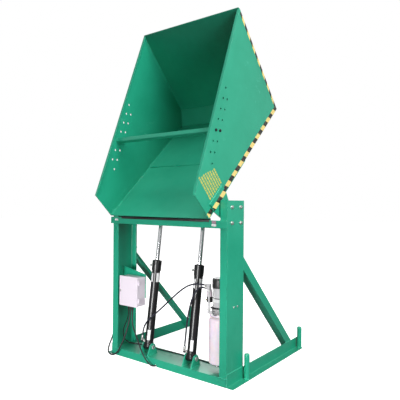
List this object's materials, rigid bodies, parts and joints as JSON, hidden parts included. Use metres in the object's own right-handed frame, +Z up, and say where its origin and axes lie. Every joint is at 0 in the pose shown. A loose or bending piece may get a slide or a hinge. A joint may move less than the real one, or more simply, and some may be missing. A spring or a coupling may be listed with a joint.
{
  "type": "hydraulic container dumper",
  "caption": "Floor-level hydraulic box dumper: a wide steel chute with a platform and back pivots over an upright channel frame on two cylinders, shown fully tipped.",
  "frame": {"origin": "middle of the face that the front flange of the base channel rests on, on the floor at the front of the frame", "axes": "+Z up, +Y towards the back, where the legs run out, +X to the right seen from the front"},
  "size_m": [1.32, 1.4689, 2.8717],
  "materials": {
    "green_paint": "gloss green enamel",
    "zinc": "bright zinc plate",
    "black_paint": "gloss black",
    "chrome": "polished",
    "bearing_iron": "machined and painted",
    "box_paint": "light grey powder coat",
    "aluminium": "die cast",
    "tank_plastic": "natural translucent polyethylene",
    "black_plastic": "fine texture",
    "cream_plastic": "moulded",
    "motor_paint": "silver enamel",
    "hose_rubber": "smooth",
    "cable_rubber": "satin",
    "yellow_plastic": "moulded",
    "green_plastic": "moulded",
    "red_plastic": "moulded",
    "copper_steel": "laminated core and winding"
  },
  "bodies": {
    "frame": {"base_channel": "green_paint", "column_left": "green_paint", "column_right": "green_paint", "leg_left": "green_paint", "leg_right": "green_paint", "braces": "green_paint", "guide_posts": "green_paint", "front_beam": "green_paint", "base_lugs": "green_paint", "control_plate": "green_paint", "base_pins": "zinc", "frame_bolts": "zinc", "pendant_hook": "zinc", "pressure_fittings": "zinc", "filler_cap": "zinc", "bearing_housings": "bearing_iron", "bearing_inserts": "zinc", "box_body": "box_paint", "mounting_panel": "zinc", "contactor": "cream_plastic", "transformer": "copper_steel", "cable_glands": "black_plastic", "power_unit_plate": "black_paint", "manifold": "aluminium", "reservoir": "tank_plastic", "motor_body": "motor_paint", "motor_cap": "black_plastic", "start_solenoid": "motor_paint", "hose_left": "hose_rubber", "hose_right": "hose_rubber", "motor_cable": "cable_rubber", "pendant_cord": "cable_rubber", "supply_cord": "cable_rubber", "supply_coil": "cable_rubber", "supply_plug": "black_plastic", "pendant_body": "yellow_plastic"},
    "chute": {"side_plate_left": "green_paint", "side_plate_right": "green_paint", "platform": "green_paint", "corner_plate": "green_paint", "back_plate": "green_paint", "lip_plate": "green_paint", "edge_rims": "green_paint", "underside_ribs": "green_paint", "pivot_ears": "green_paint", "pivot_shafts": "zinc", "rod_lugs": "green_paint", "rod_stub_pins": "zinc", "retainer_bar": "green_paint", "retainer_bolts": "zinc"},
    "cylinder_left": {"barrel_left": "black_paint", "gland_left": "black_paint"},
    "cylinder_right": {"barrel_right": "black_paint", "gland_right": "black_paint"},
    "piston_rod_left": {"rod_left": "chrome"},
    "piston_rod_right": {"rod_right": "chrome"},
    "door": {"box_door": "box_paint"},
    "raise_push": {"raise_button": "green_plastic"},
    "lower_push": {"lower_button": "red_plastic"}
  },
  "joints": [
    {"name": "chute_tip", "type": "hinge", "parent": "frame", "child": "chute", "pos_m": [0, 0.1125, 1.2465], "axis": [1, 0, 0], "range_deg": [-133, 0]},
    {"name": "cylinder_swing_left", "type": "hinge", "parent": "frame", "child": "cylinder_left", "pos_m": [-0.228, 0.062, 0.122], "axis": [1, 0, 0], "range_deg": [-7.5, 1]},
    {"name": "rod_stroke_left", "type": "slide", "parent": "cylinder_left", "child": "piston_rod_left", "axis": [0, 0.1367, 0.9906], "range_m": [-0.445, 0]},
    {"name": "cylinder_swing_right", "type": "hinge", "parent": "frame", "child": "cylinder_right", "pos_m": [0.228, 0.062, 0.122], "axis": [1, 0, 0], "range_deg": [-7.5, 1]},
    {"name": "rod_stroke_right", "type": "slide", "parent": "cylinder_right", "child": "piston_rod_right", "axis": [0, 0.1367, 0.9906], "range_m": [-0.445, 0]},
    {"name": "door_swing", "type": "hinge", "parent": "frame", "child": "door", "pos_m": [-0.30075, 0.0135, 0.5], "axis": [0, 0, 1], "range_deg": [0, 110]},
    {"name": "raise_press", "type": "slide", "parent": "frame", "child": "raise_push", "axis": [1, 0, 0], "range_m": [0, 0.004], "stiffness_N_per_m": 500, "springref_m": -0.002},
    {"name": "lower_press", "type": "slide", "parent": "frame", "child": "lower_push", "axis": [1, 0, 0], "range_m": [0, 0.004], "stiffness_N_per_m": 500, "springref_m": -0.002}
  ],
  "couplings": [
    {"joint": "cylinder_swing_left", "follows": "chute_tip", "ratio": -0.006751},
    {"joint": "rod_stroke_left", "follows": "chute_tip", "m_per_rad": 0.19149},
    {"joint": "cylinder_swing_right", "follows": "chute_tip", "ratio": -0.006751},
    {"joint": "rod_stroke_right", "follows": "chute_tip", "m_per_rad": 0.19149}
  ]
}
